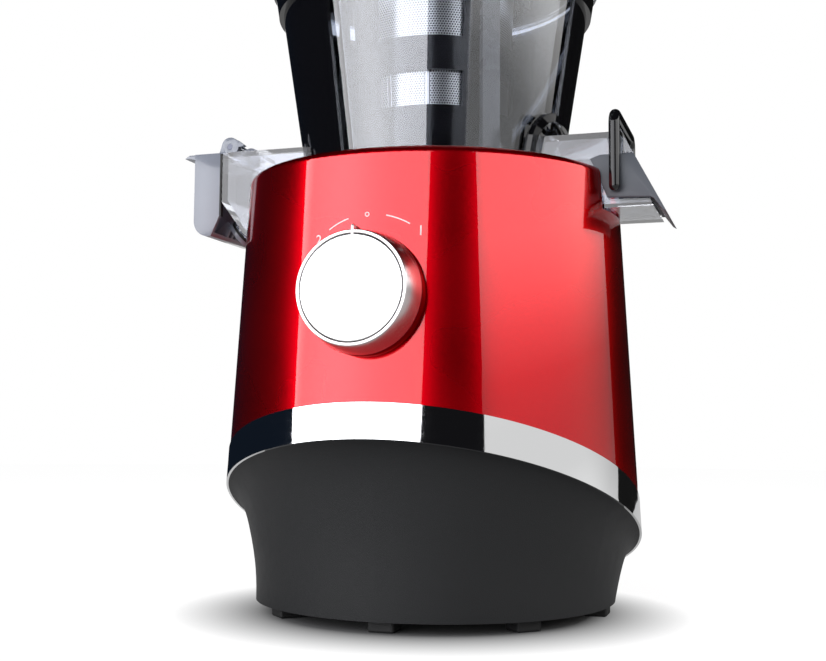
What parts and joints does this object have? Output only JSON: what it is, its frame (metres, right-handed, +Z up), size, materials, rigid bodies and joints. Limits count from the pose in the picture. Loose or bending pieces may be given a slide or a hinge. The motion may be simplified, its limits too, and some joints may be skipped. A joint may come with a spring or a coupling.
{
  "type": "vertical slow juicer",
  "caption": "Vertical slow juicer with a tapered red body, slanted chrome ring, large control knob, clear bowl, capped juice spout and gated pulp spout.",
  "frame": {"origin": "on the drive axis, at the height of the table that the feet stand on", "axes": "+Z up along the drive axis, -Y towards the control knob, -X towards the juice spout, +X towards the pulp spout"},
  "size_m": [0.2424, 0.2174, 0.441],
  "materials": {
    "charcoal_plastic": "matte charcoal",
    "black_plastic": "moulded black",
    "screw_steel": "zinc plated",
    "black_rubber": "soft black",
    "chrome_trim": "mirror",
    "red_metallic": "candy red with gloss clear coat",
    "deck_plastic": "dark red gloss",
    "zinc_steel": "zinc",
    "lamination_steel": "stacked sheet",
    "copper_wire": "enamelled copper",
    "bearing_steel": "ground",
    "cast_metal": "cast",
    "gear_steel": "machined",
    "board_green": "circuit board",
    "satin_metal": "satin",
    "bright_metal": "brushed bright disc",
    "clear_smoke": "lightly smoked clear plastic",
    "pin_steel": "polished",
    "black_silicone": "soft black",
    "black_gloss": "piano black",
    "grey_strainer": "dark grey",
    "mesh_steel": "perforated sheet",
    "auger_grey": "dark grey",
    "coupling_steel": "machined",
    "white_gear": "white",
    "wiper_grey": "grey",
    "cap_grey": "smoky grey",
    "gate_grey": "dark grey",
    "pusher_grey": "grey"
  },
  "bodies": {
    "base": {"lower_base": "charcoal_plastic", "bottom_plate": "black_plastic", "plate_screws": "screw_steel", "rubber_feet": "black_rubber", "trim_ring": "chrome_trim", "body_shell": "red_metallic", "inlet_gland": "black_rubber", "top_deck": "deck_plastic", "motor_can": "zinc_steel", "motor_stator": "lamination_steel", "motor_windings": "copper_wire", "motor_bearings": "bearing_steel", "gearbox_case": "cast_metal", "ring_gear": "gear_steel", "gearbox_cover": "cast_metal", "output_bearing": "bearing_steel", "gearbox_screws": "screw_steel", "dial_switch": "black_plastic", "control_board": "board_green"},
    "rotor": {"motor_rotor": "lamination_steel", "motor_shaft": "gear_steel", "cooling_fan": "black_plastic"},
    "carrier_low": {"planet_carrier": "gear_steel"},
    "output": {"drive_shaft": "gear_steel"},
    "planet_low_a": {"planet_low_a": "gear_steel"},
    "planet_low_b": {"planet_low_b": "gear_steel"},
    "planet_low_c": {"planet_low_c": "gear_steel"},
    "planet_high_a": {"planet_high_a": "gear_steel"},
    "planet_high_b": {"planet_high_b": "gear_steel"},
    "planet_high_c": {"planet_high_c": "gear_steel"},
    "knob": {"knob_body": "satin_metal", "knob_face": "bright_metal", "knob_shaft": "gear_steel"},
    "bowl_unit": {"bowl": "clear_smoke", "juice_spout": "clear_smoke", "pulp_spout": "clear_smoke", "juice_hinge_pin": "pin_steel", "bowl_seal": "black_silicone", "bowl_shroud": "black_gloss", "strainer_frame": "grey_strainer", "strainer_mesh": "mesh_steel"},
    "auger_unit": {"auger": "auger_grey", "auger_coupling": "coupling_steel"},
    "idler_front": {"idler_front": "white_gear"},
    "idler_back": {"idler_back": "white_gear"},
    "wiper_unit": {"wiper_frame": "wiper_grey", "wiper_blades": "black_silicone"},
    "cap_unit": {"juice_cap": "cap_grey", "juice_cap_seal": "black_silicone"},
    "gate_unit": {"pulp_gate": "gate_grey", "pulp_gate_seal": "black_silicone"},
    "bail": {"bail": "black_gloss"},
    "lid": {"lid": "clear_smoke"},
    "pusher_unit": {"pusher": "pusher_grey", "pusher_cap": "black_gloss"}
  },
  "joints": [
    {"name": "motor_spin", "type": "hinge", "parent": "base", "child": "rotor", "pos_m": [0, 0, 0.064], "axis": [0, 0, 1], "continuous": true},
    {"name": "carrier_low_spin", "type": "hinge", "parent": "base", "child": "carrier_low", "pos_m": [0, 0, 0.122], "axis": [0, 0, 1], "continuous": true},
    {"name": "output_spin", "type": "hinge", "parent": "base", "child": "output", "pos_m": [0, 0, 0.16], "axis": [0, 0, 1], "continuous": true},
    {"name": "planet_low_a_spin", "type": "hinge", "parent": "carrier_low", "child": "planet_low_a", "pos_m": [0.01875, 0, 0.1145], "axis": [0, 0, 1], "continuous": true},
    {"name": "planet_low_b_spin", "type": "hinge", "parent": "carrier_low", "child": "planet_low_b", "pos_m": [-0.00937, 0.01624, 0.1145], "axis": [0, 0, 1], "continuous": true},
    {"name": "planet_low_c_spin", "type": "hinge", "parent": "carrier_low", "child": "planet_low_c", "pos_m": [-0.00937, -0.01624, 0.1145], "axis": [0, 0, 1], "continuous": true},
    {"name": "planet_high_a_spin", "type": "hinge", "parent": "output", "child": "planet_high_a", "pos_m": [0.01875, 0, 0.1295], "axis": [0, 0, 1], "continuous": true},
    {"name": "planet_high_b_spin", "type": "hinge", "parent": "output", "child": "planet_high_b", "pos_m": [-0.00937, 0.01624, 0.1295], "axis": [0, 0, 1], "continuous": true},
    {"name": "planet_high_c_spin", "type": "hinge", "parent": "output", "child": "planet_high_c", "pos_m": [-0.00937, -0.01624, 0.1295], "axis": [0, 0, 1], "continuous": true},
    {"name": "knob_turn", "type": "hinge", "parent": "base", "child": "knob", "pos_m": [0, -0.09334, 0.141], "axis": [0, -0.9984, 0.0567], "range_deg": [-45, 45]},
    {"name": "bowl_lift", "type": "slide", "parent": "base", "child": "bowl_unit", "axis": [0, 0, 1], "range_m": [0, 0.045]},
    {"name": "auger_spin", "type": "hinge", "parent": "bowl_unit", "child": "auger_unit", "pos_m": [0, 0, 0.21], "axis": [0, 0, 1], "continuous": true},
    {"name": "idler_front_spin", "type": "hinge", "parent": "bowl_unit", "child": "idler_front", "pos_m": [0, -0.021, 0.2077], "axis": [0, 0, 1], "continuous": true},
    {"name": "idler_back_spin", "type": "hinge", "parent": "bowl_unit", "child": "idler_back", "pos_m": [0, 0.021, 0.2077], "axis": [0, 0, 1], "continuous": true},
    {"name": "wiper_spin", "type": "hinge", "parent": "bowl_unit", "child": "wiper_unit", "pos_m": [0, 0, 0.2077], "axis": [0, 0, 1], "continuous": true},
    {"name": "juice_cap_open", "type": "hinge", "parent": "bowl_unit", "child": "cap_unit", "pos_m": [-0.1054, 0, 0.2299], "axis": [0, 1, 0], "range_deg": [0, 95]},
    {"name": "pulp_gate_open", "type": "hinge", "parent": "bowl_unit", "child": "gate_unit", "pos_m": [0.0928, 0, 0.217], "axis": [0, -1, 0], "range_deg": [0, 50]},
    {"name": "bail_swing", "type": "hinge", "parent": "gate_unit", "child": "bail", "pos_m": [0.093, 0, 0.1955], "axis": [0, 1, 0], "range_deg": [0, 110]},
    {"name": "lid_lift", "type": "slide", "parent": "bowl_unit", "child": "lid", "axis": [0, 0, 1], "range_m": [0, 0.06]},
    {"name": "pusher_lift", "type": "slide", "parent": "lid", "child": "pusher_unit", "axis": [0, 0, 1], "range_m": [0, 0.09]}
  ],
  "couplings": [
    {"joint": "carrier_low_spin", "follows": "motor_spin", "ratio": 0.2},
    {"joint": "output_spin", "follows": "motor_spin", "ratio": 0.04},
    {"joint": "planet_low_a_spin", "follows": "motor_spin", "ratio": -0.53333},
    {"joint": "planet_low_b_spin", "follows": "motor_spin", "ratio": -0.53333},
    {"joint": "planet_low_c_spin", "follows": "motor_spin", "ratio": -0.53333},
    {"joint": "planet_high_a_spin", "follows": "motor_spin", "ratio": -0.10667},
    {"joint": "planet_high_b_spin", "follows": "motor_spin", "ratio": -0.10667},
    {"joint": "planet_high_c_spin", "follows": "motor_spin", "ratio": -0.10667},
    {"joint": "auger_spin", "follows": "motor_spin", "ratio": 0.04},
    {"joint": "idler_front_spin", "follows": "motor_spin", "ratio": -0.053333},
    {"joint": "idler_back_spin", "follows": "motor_spin", "ratio": -0.053333},
    {"joint": "wiper_spin", "follows": "motor_spin", "ratio": -0.016}
  ]
}
